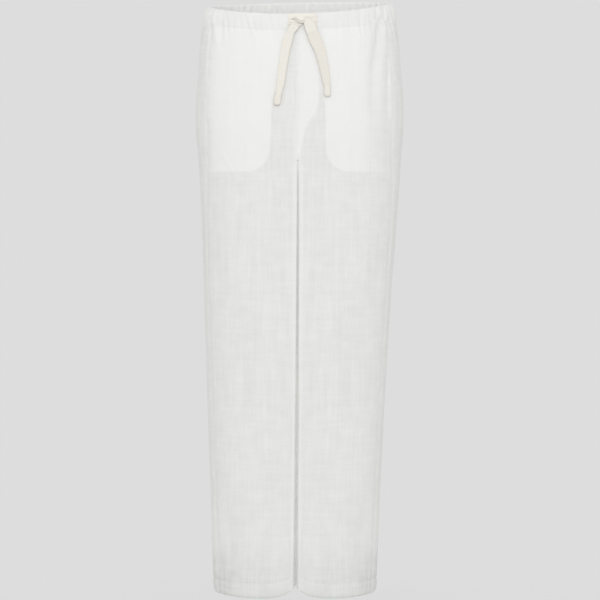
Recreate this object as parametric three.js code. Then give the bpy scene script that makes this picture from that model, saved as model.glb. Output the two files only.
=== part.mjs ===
// Hemp trousers: pull-on, straight wide legs, an elastic waist casing and a flat drawstring.
// Millimetres, +Z up. The front faces -Y, and the wearer's left is +X.
// The origin is the middle of the waist opening, level with the top edge at the side seams.
// "down" is the distance below the origin, and "out" the distance sideways from the middle line.

import * as THREE from "three";

// Cloth and seams
const clothWall = 1.5;
const hemWall = 2.8;
const casingWall = 3;
const facingWall = 1.2;
const pocketWall = 2.2;
const seamGap = 0.3;
const layerGap = 0.8;

// Lengths down the garment
const casingHeight = 28;
const crotchDown = 272;
const hemDown = 1011;
const hemDepth = 25;
const frontRiseCurve = 8;
const backRiseCurve = 105;

// Waist and hem edges: how far they rise or dip from level
const frontDip = 20;
const backLift = 8;
const leftRaise = 3.5;
const waistTiltReach = 220;
const inseamLift = 20;
const inseamLiftPower = 8;
const frontHemDroop = 2.5;
const hemShapeReach = 120;

// Level sections. left, middle and right are across; front and back are depths from the origin;
// widest is how far back the broadest line lies; crown is how far out the leg's front ridge lies;
// roll is how far the front falls back from there towards the middle; notch and notchDepth are the
// half width and depth of the groove between the legs; seamIn is how far in from the edge the side
// seam lies. outerPower and backPower are superellipse powers outside the ridge and on the back's
// inner side, 2 being round and more being squarer.
const sectionColumns = [
  "down", "left", "middle", "right", "front", "back", "widest", "crown", "roll",
  "notch", "notchDepth", "seamIn", "outerPower", "backPower",
];
const sections = [
  [0, -157, 0, 160, 92, 92, 4, 0, 0, 2, 0, 14, 2.2, 2],
  [13, -163, 0, 163, 94, 94, 4, 0, 0, 2, 0, 15, 2.2, 2],
  [28, -165.5, 0, 165, 96, 97, 4, 0, 0, 2, 0, 16, 2.2, 2],
  [76, -171, 0, 170.5, 103, 107, 5, 0, 0, 2, 0, 19, 2.3, 2],
  [127, -174.5, -0.5, 175.5, 106, 118, 6, 12, 0.5, 2, 0, 21, 2.3, 2],
  [180, -178, -1.5, 178.5, 106, 126, 7, 30, 2, 2.2, 0, 22, 2.25, 2.2],
  [222, -177.5, -2.2, 177.5, 105, 127, 8, 46, 3.5, 2.4, 0.2, 21, 2.2, 2.8],
  [272, -173, -2.6, 174, 101, 120, 8, 60, 4.5, 2.4, 2, 17, 2.15, 3.6],
  [300, -171.5, -2.6, 172.5, 99, 116.2, 8, 64, 4.7, 2.5, 3.9, 14, 2.13, 3.8],
  [368, -168.6, -2.6, 167.7, 94, 107, 7, 70, 5, 2.8, 5.4, 11, 2.1, 4.2],
  [506, -164.5, -3.4, 157.4, 85, 97, 6, 74, 5, 3.3, 6.8, 10, 2.05, 4.2],
  [678, -159.5, -4.2, 147.2, 77, 89, 6, 70, 5, 4.1, 7.8, 10, 2, 3.8],
  [850, -153.2, -5.7, 139, 71, 83, 6, 62, 4.5, 4.6, 8.6, 9, 1.95, 3.2],
  [965, -150, -6.5, 135, 67.8, 79.6, 6, 54, 3.8, 5.2, 9, 9, 1.92, 2.6],
  [1011, -148.6, -6.9, 133.5, 66, 78, 6, 50, 3, 6, 10.5, 9, 1.9, 2.2],
].map((row) => Object.fromEntries(sectionColumns.map((column, index) => [column, row[index]])));

// The largest soft folds. across is the part of the way from the middle seam to the side seam,
// drift its change from top to bottom, width and depth are in millimetres, and a minus depth is a trough.
const folds = [
  { panel: "front_left", across: 0.77, drift: -0.06, top: 20, bottom: 190, width: 17, depth: 2.6 },
  { panel: "front_left", across: 0.63, drift: -0.03, top: 20, bottom: 230, width: 20, depth: -2.2 },
  { panel: "front_right", across: 0.84, drift: -0.04, top: 20, bottom: 150, width: 18, depth: 2.2 },
  { panel: "front_right", across: 0.66, drift: 0.1, top: 190, bottom: 420, width: 22, depth: 1.8 },
  { panel: "back_left", across: 0.55, drift: 0.05, top: 20, bottom: 170, width: 24, depth: 2.6 },
  { panel: "back_left", across: 0.3, drift: 0.12, top: 230, bottom: 430, width: 26, depth: -3 },
  { panel: "back_right", across: 0.5, drift: 0.08, top: 20, bottom: 150, width: 24, depth: 2.4 },
  { panel: "back_right", across: 0.33, drift: 0.1, top: 240, bottom: 460, width: 28, depth: -2.8 },
];

// Rows of the leg panels, closer together round the crotch and at the hem
const panelRows = [
  48, 76, 110, 145, 180, 207, 228, 245, 258, 267, 272,
  280, 300, 330, 368, 430, 506, 592, 678, 764, 850, 925,
];

// Columns of the leg panels: some down the leg's inner face, some round its corner as far out as
// cornerOut, and the rest even to the side seam. The corner starts where the line leaves the inner
// face by innerFaceDepth, or at cornerShare of the way to cornerOut if that is farther.
const frontColumns = { inner: 3, corner: 3, rest: 12 };
const backColumns = { inner: 0, corner: 0, rest: 15 };
const cornerOut = 9.5;
const cornerShare = 0.35;
const innerFaceDepth = 0.01;

// Pocket bags: straight inner edge, rounded lower corner, bottom level with the crotch
const pocketBottomDown = 285;
const pocketCornerRadius = 40;
const pocketInnerEdge = [
  { down: 30, out: 14 },
  { down: 110, out: 32 },
  { down: 172, out: 45 },
  { down: 245, out: 47 },
];
const pocketOuterPart = 0.985;

// Mock fly facing on the wearer's left front: its free edge, from the casing down to the seam
const facingSeamOut = 0.6;
const facingEdge = [
  { down: 30, out: 33 },
  { down: 48, out: 33 },
  { down: 76, out: 33 },
  { down: 110, out: 33 },
  { down: 145, out: 33 },
  { down: 180, out: 28 },
  { down: 207, out: 12 },
];

// Drawstring: flat cotton tape tied in a half knot, spread out below the knot and rolled narrower
// towards its ends. Each stop of a tail's route is how far across and down it lies, how far its
// middle stands off the cloth behind it, and how wide the tape is there.
const tapeThickness = 1.4;
const tapeEndThickness = 3;
const knot = { left: -20, right: 31, down: 13.6, height: 26.4, thickness: 6, standOff: 3.6 };
const leftTail = [
  { across: -14.4, down: 31.5, standOff: 3.4, width: 12.8 },
  { across: -16.7, down: 37.8, standOff: 2.6, width: 14.4 },
  { across: -19.4, down: 46.8, standOff: 2.1, width: 15.6 },
  { across: -23.6, down: 65.3, standOff: 1.7, width: 15.6 },
  { across: -25.8, down: 84.1, standOff: 1.6, width: 14.3 },
  { across: -28.6, down: 103.2, standOff: 1.6, width: 14.3 },
  { across: -30.7, down: 122.4, standOff: 1.6, width: 13.8 },
  { across: -32.7, down: 137.6, standOff: 1.6, width: 12 },
  { across: -34.6, down: 148, standOff: 1.7, width: 11.4 },
];
const leftTailEnd = [
  { across: -34.9, down: 149.3, standOff: 2.4, width: 10.8 },
  { across: -36.6, down: 159, standOff: 2.4, width: 11.5 },
  { across: -37.2, down: 170.8, standOff: 2.5, width: 9.5 },
];
const rightTail = [
  { across: 20.6, down: 30.8, standOff: 3.4, width: 18 },
  { across: 23.3, down: 37.8, standOff: 2.6, width: 20 },
  { across: 26.5, down: 46.8, standOff: 2.1, width: 20.5 },
  { across: 33.7, down: 65.3, standOff: 1.7, width: 19 },
  { across: 37.7, down: 84.1, standOff: 1.6, width: 16.5 },
  { across: 41.2, down: 103.2, standOff: 1.6, width: 15.5 },
  { across: 44.1, down: 122.4, standOff: 1.6, width: 13.8 },
  { across: 45.8, down: 136, standOff: 1.7, width: 12 },
];
const rightTailEnd = [
  { across: 46, down: 137.3, standOff: 2.4, width: 10.5 },
  { across: 46.4, down: 147, standOff: 2.4, width: 11 },
  { across: 46.6, down: 154.6, standOff: 2.5, width: 8.5 },
];

const leftHalf = 1;
const rightHalf = -1;

// Materials
const hemp = new THREE.MeshStandardMaterial({ color: 0xecebe6, roughness: 0.92, metalness: 0 });
const hempBand = new THREE.MeshStandardMaterial({ color: 0xefeee9, roughness: 0.92, metalness: 0 });
const pocketing = new THREE.MeshStandardMaterial({ color: 0xf4f3ef, roughness: 0.9, metalness: 0 });
const creamTape = new THREE.MeshStandardMaterial({ color: 0xefe3cc, roughness: 0.88, metalness: 0 });

// A smooth curve through one column of a table, at any distance down.
function readTable(table, column, down) {
  const last = table.length - 1;
  const clamped = Math.min(Math.max(down, table[0].down), table[last].down);
  let row = 0;
  while (row < last - 1 && table[row + 1].down < clamped) {
    row += 1;
  }
  const slopeAt = (index) => {
    const before = table[Math.max(index - 1, 0)];
    const after = table[Math.min(index + 1, last)];
    return (after[column] - before[column]) / (after.down - before.down);
  };
  const start = table[row];
  const end = table[row + 1];
  const span = end.down - start.down;
  const t = (clamped - start.down) / span;
  const t2 = t * t;
  const t3 = t2 * t;
  return (
    (2 * t3 - 3 * t2 + 1) * start[column] +
    (t3 - 2 * t2 + t) * span * slopeAt(row) +
    (3 * t2 - 2 * t3) * end[column] +
    (t3 - t2) * span * slopeAt(row + 1)
  );
}

// Straight lines through a table, for edges that are cut straight.
function readStraight(table, column, down) {
  const last = table[table.length - 1];
  if (down >= last.down) {
    return last[column];
  }
  const next = table.findIndex((row) => row.down > down);
  if (next <= 0) {
    return table[0][column];
  }
  const start = table[next - 1];
  const end = table[next];
  const t = (down - start.down) / (end.down - start.down);
  return start[column] + t * (end[column] - start[column]);
}

// How far the rise seam has turned under the body: 0 above its curve and 1 at the crotch.
function riseTurn(down, curveLength) {
  const t = THREE.MathUtils.clamp((down - (crotchDown - curveLength)) / curveLength, 0, 1);
  return 1 - Math.sqrt(1 - t * t);
}

// Sizes of one half of the garment at one level.
function levelSizes(half, down) {
  const size = {};
  for (const column of sectionColumns.slice(1)) {
    size[column] = readTable(sections, column, down);
  }
  size.inner = seamGap / 2;
  size.width = Math.abs((half === leftHalf ? size.right : size.left) - size.middle);
  size.crown = Math.max(size.crown, 0);
  size.notch = Math.max(Math.min(size.notch, 0.9 * size.crown), size.inner);
  size.frontSeam = THREE.MathUtils.lerp(size.roll - size.front, size.widest, riseTurn(down, frontRiseCurve));
  size.backSeam = THREE.MathUtils.lerp(size.back, size.widest, riseTurn(down, backRiseCurve));
  const seamPart = (size.width - size.seamIn - size.crown) / (size.width - size.crown);
  size.seamTurn = Math.asin(seamPart ** (size.outerPower / 2));
  return size;
}

// A quarter of a superellipse, from its start on one axis to its end on the other.
function quarterArc(startOut, startDeep, endOut, endDeep, power, from, to, steps) {
  const points = [];
  for (let step = 0; step <= steps; step += 1) {
    const angle = from + ((to - from) * step) / steps;
    const along = Math.max(Math.sin(angle), 0) ** (2 / power);
    const short = Math.max(Math.cos(angle), 0) ** (2 / power);
    points.push([startOut + (endOut - startOut) * along, endDeep + (startDeep - endDeep) * short]);
  }
  return points;
}

// The front's line from the middle seam or inseam: straight forward along the leg's inner face,
// round the groove's edge and gently up to the leg's front ridge.
function frontInnerLine(size, steps) {
  const { crown, notch, inner, roll, front, frontSeam, notchDepth } = size;
  const foot = roll - front;
  const deepest = Math.min(foot + notchDepth, Math.max(frontSeam, foot));
  const rolled = [];
  const dipped = [];
  const straight = [];
  for (let step = 0; step <= steps; step += 1) {
    const t = step / steps;
    rolled.push([THREE.MathUtils.lerp(crown, notch, t), roll * t * t - front]);
    const dip = (1 - Math.cos(Math.PI * t)) / 2;
    dipped.push([THREE.MathUtils.lerp(notch, inner, t), THREE.MathUtils.lerp(foot, deepest, dip)]);
    straight.push([inner, THREE.MathUtils.lerp(deepest, frontSeam, t)]);
  }
  return [...rolled, ...dipped, ...straight].reverse();
}

// One level line of a panel as [out, deep] pairs, from the middle seam or inseam to the side seam.
function levelLine(half, face, down) {
  const size = levelSizes(half, down);
  const quarter = Math.PI / 2;
  const steps = 40;
  const { crown, width, widest, front, back, outerPower, seamTurn } = size;
  let line;
  if (face === "front") {
    line = [
      ...frontInnerLine(size, steps),
      ...quarterArc(crown, -front, width, widest, outerPower, 0, seamTurn, steps),
    ];
  } else {
    line = [
      ...quarterArc(crown, back, size.inner, size.backSeam, size.backPower, 0, quarter, steps).reverse(),
      ...quarterArc(crown, back, width, widest, outerPower, 0, quarter, steps),
      ...quarterArc(crown, -front, width, widest, outerPower, seamTurn, quarter, steps).reverse(),
    ];
  }
  const lengths = [0];
  for (let index = 1; index < line.length; index += 1) {
    const stepOut = line[index][0] - line[index - 1][0];
    const stepDeep = line[index][1] - line[index - 1][1];
    lengths.push(lengths[index - 1] + Math.hypot(stepOut, stepDeep));
  }
  return { size, line, lengths, total: lengths[lengths.length - 1] };
}

const lineStore = new Map();
function storedLine(half, face, down) {
  const key = `${half}${face}${down.toFixed(3)}`;
  if (!lineStore.has(key)) {
    lineStore.set(key, levelLine(half, face, down));
  }
  return lineStore.get(key);
}

// How far a panel's edge rises above level. The waist dips in front and stands higher on the
// wearer's left; the hem lifts at the inseam and droops a little in front.
function edgeRise(size, half, out, deep, down) {
  const waist = 1 - THREE.MathUtils.smoothstep(down, 0, waistTiltReach);
  const hem = THREE.MathUtils.smoothstep(down, hemDown - hemShapeReach, hemDown);
  const forward = Math.max(-deep / size.front, 0) ** 1.5;
  const backward = Math.max(deep / size.back, 0) ** 1.5;
  const sideways = (half * out) / size.width;
  const inward = 1 - out / size.width;
  const waistRise = backLift * backward - frontDip * forward + leftRaise * sideways;
  return waist * waistRise + hem * (inseamLift * inward ** inseamLiftPower - frontHemDroop * forward);
}

// The plain point of a level line, before folds. part is 0 at the middle seam and 1 at the side seam.
function plainPoint(half, face, down, part) {
  const { size, line, lengths, total } = storedLine(half, face, down);
  const wanted = THREE.MathUtils.clamp(part, 0, 1) * total;
  let index = 1;
  while (index < lengths.length - 1 && lengths[index] < wanted) {
    index += 1;
  }
  const span = lengths[index] - lengths[index - 1];
  const t = span > 0 ? (wanted - lengths[index - 1]) / span : 0;
  const out = THREE.MathUtils.lerp(line[index - 1][0], line[index][0], t);
  const deep = THREE.MathUtils.lerp(line[index - 1][1], line[index][1], t);
  return new THREE.Vector3(size.middle + half * out, deep, -down + edgeRise(size, half, out, deep, down));
}

// The outward direction of the cloth.
function outwardAt(half, face, down, part) {
  const partStep = 0.004;
  const downStep = 0.5;
  const above = plainPoint(half, face, Math.max(down - downStep, 0), part);
  const below = plainPoint(half, face, Math.min(down + downStep, hemDown), part);
  const nearer = plainPoint(half, face, down, part - partStep);
  const farther = plainPoint(half, face, down, part + partStep);
  const outward = farther.sub(nearer).cross(above.sub(below));
  const turn = (face === "front" ? 1 : -1) * half;
  return outward.multiplyScalar(turn).normalize();
}

// Height of the folds over the plain form.
function foldHeight(half, face, down, part, total) {
  const name = `${face}_${half === leftHalf ? "left" : "right"}`;
  let height = 0;
  for (const fold of folds) {
    if (fold.panel !== name || down < fold.top || down > fold.bottom) {
      continue;
    }
    const along = (down - fold.top) / (fold.bottom - fold.top);
    const offset = ((part - fold.across - fold.drift * along) * total) / fold.width;
    const fade = Math.sin(Math.PI * THREE.MathUtils.clamp(0.12 + 0.88 * along, 0, 1));
    height += fold.depth * fade * Math.exp(-offset * offset);
  }
  return height;
}

// A point of the garment's surface, moved out from the cloth's outer face by standOff.
// It stays on its own half's side of the middle seam.
function surfacePoint(half, face, down, part, standOff) {
  const { total, size } = storedLine(half, face, down);
  const point = plainPoint(half, face, down, part);
  const height = foldHeight(half, face, down, part, total) + standOff;
  point.addScaledVector(outwardAt(half, face, down, part), height);
  const out = Math.max(half * (point.x - size.middle), seamGap / 2);
  point.x = size.middle + half * out;
  return point;
}

// The part of the way along a front level line at which it lies a given distance out.
function partAtOut(half, down, out) {
  const { line, lengths, total } = storedLine(half, "front", down);
  let index = 1;
  while (index < line.length - 1 && line[index][0] < out) {
    index += 1;
  }
  const span = line[index][0] - line[index - 1][0];
  const t = span > 0 ? THREE.MathUtils.clamp((out - line[index - 1][0]) / span, 0, 1) : 0;
  return THREE.MathUtils.lerp(lengths[index - 1], lengths[index], t) / total;
}

// A closed cloth wall between two grids of points with the same rows and columns.
function wallGeometry(outer, inner) {
  const rows = outer.length;
  const columns = outer[0].length;
  const positions = [];
  for (const grid of [outer, inner]) {
    for (const row of grid) {
      for (const point of row) {
        positions.push(point.x, point.y, point.z);
      }
    }
  }
  const at = (side, row, column) => (side * rows + row) * columns + column;
  const faces = [];
  const quad = (a, b, c, d) => faces.push(a, b, c, a, c, d);
  for (let row = 0; row < rows - 1; row += 1) {
    for (let column = 0; column < columns - 1; column += 1) {
      quad(at(0, row, column), at(0, row + 1, column), at(0, row + 1, column + 1), at(0, row, column + 1));
      quad(at(1, row, column), at(1, row, column + 1), at(1, row + 1, column + 1), at(1, row + 1, column));
    }
    const end = columns - 1;
    quad(at(0, row, 0), at(1, row, 0), at(1, row + 1, 0), at(0, row + 1, 0));
    quad(at(0, row, end), at(0, row + 1, end), at(1, row + 1, end), at(1, row, end));
  }
  for (let column = 0; column < columns - 1; column += 1) {
    const end = rows - 1;
    quad(at(0, 0, column), at(0, 0, column + 1), at(1, 0, column + 1), at(1, 0, column));
    quad(at(0, end, column), at(1, end, column), at(1, end, column + 1), at(0, end, column + 1));
  }
  if (enclosedVolume(positions, faces) < 0) {
    faces.reverse();
  }
  const geometry = new THREE.BufferGeometry();
  geometry.setAttribute("position", new THREE.Float32BufferAttribute(positions, 3));
  geometry.setIndex(faces);
  geometry.computeVertexNormals();
  return geometry;
}

function enclosedVolume(positions, faces) {
  const corner = (index) => new THREE.Vector3().fromArray(positions, index * 3);
  let volume = 0;
  for (let index = 0; index < faces.length; index += 3) {
    const a = corner(faces[index]);
    const b = corner(faces[index + 1]);
    const c = corner(faces[index + 2]);
    volume += a.dot(b.cross(c)) / 6;
  }
  return volume;
}

const trousers = new THREE.Group();

function addPiece(name, geometry, material) {
  const mesh = new THREE.Mesh(geometry, material);
  mesh.name = name;
  trousers.add(mesh);
}

// A leg panel runs from under the casing to the hem, where the turned-up cloth makes it thicker.
const legRows = [casingHeight + seamGap, ...panelRows, hemDown - hemDepth - 1, hemDown - hemDepth, hemDown];
const casingRows = [0, casingHeight / 2, casingHeight];
const casingFrontColumns = 12;
const casingBackColumns = 15;

// How far along its line, as a part of it, each column of a leg panel lies.
function columnParts(half, face, down) {
  const { inner, corner, rest } = face === "front" ? frontColumns : backColumns;
  const { total, size } = storedLine(half, face, down);
  const trim = seamGap / 2 / total;
  const cornerEnd = corner > 0 ? partAtOut(half, down, cornerOut) : trim;
  const cornerStart = Math.max(partAtOut(half, down, size.inner + innerFaceDepth), cornerShare * cornerEnd);
  const parts = [];
  for (let column = 0; column < inner; column += 1) {
    parts.push(THREE.MathUtils.lerp(trim, cornerStart, column / inner));
  }
  for (let column = 0; column < corner; column += 1) {
    parts.push(THREE.MathUtils.lerp(cornerStart, cornerEnd, column / corner));
  }
  for (let column = 0; column <= rest; column += 1) {
    parts.push(THREE.MathUtils.lerp(cornerEnd, 1 - trim, column / rest));
  }
  return parts;
}

function legPanel(half, face) {
  const outer = [];
  const inner = [];
  for (const down of legRows) {
    const wall = down >= hemDown - hemDepth ? hemWall : clothWall;
    const parts = columnParts(half, face, down);
    outer.push(parts.map((part) => surfacePoint(half, face, down, part, 0)));
    inner.push(parts.map((part) => surfacePoint(half, face, down, part, -wall)));
  }
  return wallGeometry(outer, inner);
}

const casingFrontParts = Array.from(
  { length: casingFrontColumns + 1 },
  (_, column) => column / casingFrontColumns,
);

// A point over or under the flat facets of the front's cloth, so that layers stay evenly apart.
function facetPoint(half, down, part, standOff) {
  const onCasing = down < casingHeight;
  const rows = onCasing ? casingRows : legRows;
  const partsAt = (level) => (onCasing ? casingFrontParts : columnParts(half, "front", level));
  const next = Math.max(rows.findIndex((row) => row >= down), 1);
  const rowPart = THREE.MathUtils.clamp((down - rows[next - 1]) / (rows[next] - rows[next - 1]), 0, 1);
  const parts = partsAt(down);
  const beyond = parts.findIndex((columnPart) => columnPart > part);
  const column = beyond < 0 ? parts.length - 2 : Math.max(beyond - 1, 0);
  const columnSpan = parts[column + 1] - parts[column];
  const columnPart = THREE.MathUtils.clamp((part - parts[column]) / columnSpan, 0, 1);
  const along = (row) => {
    const [near, far] = partsAt(row).slice(column, column + 2);
    const nearPoint = surfacePoint(half, "front", row, near, standOff);
    return nearPoint.lerp(surfacePoint(half, "front", row, far, standOff), columnPart);
  };
  return along(rows[next - 1]).lerp(along(rows[next]), rowPart);
}

for (const [side, half] of [["left", leftHalf], ["right", rightHalf]]) {
  addPiece(`front_${side}`, legPanel(half, "front"), hemp);
  addPiece(`back_${side}`, legPanel(half, "back"), hemp);
}

// The casing is one wall for the front and one for the back, meeting above the side seams.
function casingPiece(face, columns) {
  const outer = [];
  const inner = [];
  for (const down of casingRows) {
    const outerRow = [];
    const innerRow = [];
    for (let column = -columns; column <= columns; column += 1) {
      const half = column < 0 ? rightHalf : leftHalf;
      const { total } = storedLine(half, face, down);
      const part = (Math.abs(column) / columns) * (1 - seamGap / 2 / total);
      outerRow.push(surfacePoint(half, face, down, part, 0));
      innerRow.push(surfacePoint(half, face, down, part, -casingWall));
    }
    outer.push(outerRow);
    inner.push(innerRow);
  }
  return wallGeometry(outer, inner);
}

addPiece("waistband_front", casingPiece("front", casingFrontColumns), hempBand);
addPiece("waistband_back", casingPiece("back", casingBackColumns), hempBand);

// A layer sewn behind a front panel, between two edges given as distances out at each level.
function backingLayer(half, rows, columns, innerOut, outerPart, depth, wall) {
  const outer = [];
  const inner = [];
  for (const down of rows) {
    const start = partAtOut(half, down, innerOut(down));
    const end = outerPart(down);
    const step = (end - start) / columns;
    const parts = Array.from({ length: columns + 1 }, (_, column) => start + step * column);
    outer.push(parts.map((part) => facetPoint(half, down, part, -depth)));
    inner.push(parts.map((part) => facetPoint(half, down, part, -depth - wall)));
  }
  return wallGeometry(outer, inner);
}

function pocketInnerOut(down) {
  const cornerTop = pocketBottomDown - pocketCornerRadius;
  const straight = readStraight(pocketInnerEdge, "out", down);
  const below = Math.max(down - cornerTop, 0);
  return straight + pocketCornerRadius - Math.sqrt(pocketCornerRadius ** 2 - below ** 2);
}

const pocketRows = [30, 76, 110, 145, 180, 207, 228, 245, 258, 267, 272, 280, pocketBottomDown];
const behindCloth = clothWall + layerGap;
const behindFacing = behindCloth + facingWall + layerGap;
for (const [side, half, depth] of [["left", leftHalf, behindFacing], ["right", rightHalf, behindCloth]]) {
  const bag = backingLayer(half, pocketRows, 7, pocketInnerOut, () => pocketOuterPart, depth, pocketWall);
  addPiece(`pocket_bag_${side}`, bag, pocketing);
}

const facingRows = facingEdge.map((row) => row.down);
const facingFreePart = (down) => partAtOut(leftHalf, down, readStraight(facingEdge, "out", down));
const facing = backingLayer(
  leftHalf, facingRows, 2, () => facingSeamOut, facingFreePart, behindCloth, facingWall,
);
addPiece("fly_facing", facing, pocketing);

// The front of the garment at a place across and down, moved out by standOff.
function frontPlace(across, down, standOff) {
  const { middle } = levelSizes(leftHalf, down);
  const half = across >= middle ? leftHalf : rightHalf;
  const part = partAtOut(half, down, Math.abs(across - middle));
  return facetPoint(half, down, part, standOff);
}

// A flat tape along a route on the front of the garment.
function tapePiece(route, thickness) {
  const outer = [];
  const inner = [];
  route.forEach((stop, index) => {
    const before = route[Math.max(index - 1, 0)];
    const after = route[Math.min(index + 1, route.length - 1)];
    const run = new THREE.Vector2(after.across - before.across, after.down - before.down).normalize();
    const outerRow = [];
    const innerRow = [];
    for (const step of [-1, 0, 1]) {
      const across = stop.across + (run.y * step * stop.width) / 2;
      const down = stop.down - (run.x * step * stop.width) / 2;
      outerRow.push(frontPlace(across, down, stop.standOff + thickness / 2));
      innerRow.push(frontPlace(across, down, stop.standOff - thickness / 2));
    }
    outer.push(outerRow);
    inner.push(innerRow);
  });
  return wallGeometry(outer, inner);
}

const knotRoute = [0, 0.25, 0.5, 0.75, 1].map((t) => ({
  across: THREE.MathUtils.lerp(knot.left, knot.right, t),
  down: knot.down,
  standOff: knot.standOff,
  width: knot.height,
}));
addPiece("drawstring_knot", tapePiece(knotRoute, knot.thickness), creamTape);
addPiece("drawstring_tail_left", tapePiece(leftTail, tapeThickness), creamTape);
addPiece("drawstring_tail_right", tapePiece(rightTail, tapeThickness), creamTape);
addPiece("drawstring_end_left", tapePiece(leftTailEnd, tapeEndThickness), creamTape);
addPiece("drawstring_end_right", tapePiece(rightTailEnd, tapeEndThickness), creamTape);

export default trousers;
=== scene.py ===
import math

import bpy
import numpy as np
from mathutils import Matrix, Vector


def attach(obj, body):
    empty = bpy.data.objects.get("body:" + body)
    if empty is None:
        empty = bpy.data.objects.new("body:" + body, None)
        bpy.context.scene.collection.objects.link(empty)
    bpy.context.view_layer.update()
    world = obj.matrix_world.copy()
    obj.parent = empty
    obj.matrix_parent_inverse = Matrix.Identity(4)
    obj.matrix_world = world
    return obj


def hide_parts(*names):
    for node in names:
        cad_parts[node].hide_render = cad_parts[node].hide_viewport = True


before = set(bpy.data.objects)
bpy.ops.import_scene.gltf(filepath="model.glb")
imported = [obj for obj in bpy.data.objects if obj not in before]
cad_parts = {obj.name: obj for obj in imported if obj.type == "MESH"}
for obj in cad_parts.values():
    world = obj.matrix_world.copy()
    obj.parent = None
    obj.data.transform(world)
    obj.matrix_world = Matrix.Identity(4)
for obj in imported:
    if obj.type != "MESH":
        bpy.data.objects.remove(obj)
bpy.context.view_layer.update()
print("frame loaded:", len(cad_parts), "nodes")

# Hemp trousers. The front faces -Y and the wearer's left is +X. Down is measured from the middle of the
# waist opening, out from the middle line, and across on the cloth. Sizes are in metres, apart from the
# rows of sections, stops, folds, puckers and edges, which are in millimetres.
mm = 0.001
halves = {"left": 1, "right": -1}

form = {
    "seamGap": 0.00005,
    "casingHeight": 0.028,
    "crotchDown": 0.272,
    "hemDown": 1.011,
    "hemDepth": 0.025,
    "frontRiseCurve": 0.008,
    "backRiseCurve": 0.105,
    "notchShare": 0.9,   # the groove's half width, as a share of the ridge's distance out at most
    "grainOut": 0.075,   # where each panel's straight grain runs
    "frontDip": 0.02,
    "backLift": 0.008,
    "leftRaise": 0.0035,
    "tiltPower": 1.5,
    "waistTiltReach": 0.22,
    "inseamLift": 0.02,
    "inseamLiftPower": 8,
    "frontHemDroop": 0.0025,
    "hemShapeReach": 0.12,
}
# Where the grid's columns lie: on each leg's inner face, round its corner, and on to the side seam
spacing = {"seamOut": 0.0000505, "cornerOut": 0.0095, "cornerShare": 0.35, "crowding": 1.7}

# Level sections: edges and middle across, depths to front and back, the depth of the widest line, how
# far out each leg's ridge lies, how far the front rolls back from there towards the middle, the half
# width and depth of the groove between the legs, how far in from the edge the side seam lies, and the
# superellipse powers outside the ridge and on the back's inner side.
sectionColumns = ("down", "left", "middle", "right", "front", "back", "widest", "crown", "roll",
                  "notch", "notchDepth", "seamIn", "outerPower", "backPower")
sectionUnits = (mm,) * 12 + (1, 1)
sectionRows = (
    (0, -157.0, 0.0, 160.0, 92.0, 92.0, 4, 0, 0.0, 2.0, 0.0, 14, 2.20, 2.0),
    (13, -163.0, 0.0, 163.0, 94.0, 94.0, 4, 0, 0.0, 2.0, 0.0, 15, 2.20, 2.0),
    (28, -165.5, 0.0, 165.0, 96.0, 97.0, 4, 0, 0.0, 2.0, 0.0, 16, 2.20, 2.0),
    (76, -171.0, 0.0, 170.5, 103.0, 107.0, 5, 0, 0.0, 2.0, 0.0, 19, 2.30, 2.0),
    (127, -174.5, -0.5, 175.5, 106.0, 118.0, 6, 12, 0.5, 2.0, 0.0, 21, 2.30, 2.0),
    (180, -178.0, -1.5, 178.5, 106.0, 126.0, 7, 30, 2.0, 2.2, 0.0, 22, 2.25, 2.2),
    (222, -177.5, -2.2, 177.5, 105.0, 127.0, 8, 46, 3.5, 2.4, 0.2, 21, 2.20, 2.8),
    (272, -173.0, -2.6, 174.0, 101.0, 120.0, 8, 60, 4.5, 2.4, 2.0, 17, 2.15, 3.6),
    (300, -171.5, -2.6, 172.5, 99.0, 116.2, 8, 64, 4.7, 2.5, 3.9, 14, 2.13, 3.8),
    (368, -168.6, -2.6, 167.7, 94.0, 107.0, 7, 70, 5.0, 2.8, 5.4, 11, 2.10, 4.2),
    (506, -164.5, -3.4, 157.4, 85.0, 97.0, 6, 74, 5.0, 3.3, 6.8, 10, 2.05, 4.2),
    (678, -159.5, -4.2, 147.2, 77.0, 89.0, 6, 70, 5.0, 4.1, 7.8, 10, 2.00, 3.8),
    (850, -153.2, -5.7, 139.0, 71.0, 83.0, 6, 62, 4.5, 4.6, 8.6, 9, 1.95, 3.2),
    (965, -150.0, -6.5, 135.0, 67.8, 79.6, 6, 54, 3.8, 5.2, 9.0, 9, 1.92, 2.6),
    (1011, -148.6, -6.9, 133.5, 66.0, 78.0, 6, 50, 3.0, 6.0, 10.5, 9, 1.90, 2.2),
)
sections = dict(zip(sectionColumns, (np.array(sectionRows) * sectionUnits).T))


def smooth(value, low, high):
    t = np.clip((value - low) / (high - low), 0, 1)
    return t * t * (3 - 2 * t)


def bell(distance, width):
    return np.exp(-((distance / width) ** 2))


def steady(xs, ys, wanted):
    # A smooth curve through a table's rows, one row of results for each wanted place
    xs, ys = np.asarray(xs, float), np.asarray(ys, float)
    wanted = np.clip(wanted, xs[0], xs[-1])
    row = np.clip(np.searchsorted(xs, wanted, side="right") - 1, 0, len(xs) - 2)
    before = np.maximum(np.arange(len(xs)) - 1, 0)
    after = np.minimum(np.arange(len(xs)) + 1, len(xs) - 1)
    extra = (1,) * (ys.ndim - 1)
    slopes = (ys[after] - ys[before]) / (xs[after] - xs[before]).reshape((-1,) + extra)
    span = (xs[row + 1] - xs[row]).reshape(row.shape + extra)
    t = (wanted - xs[row]).reshape(row.shape + extra) / span
    rising = 3 * t**2 - 2 * t**3
    return ((1 - rising) * ys[row] + rising * ys[row + 1]
            + span * ((t**3 - 2 * t**2 + t) * slopes[row] + (t**3 - t**2) * slopes[row + 1]))


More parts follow.
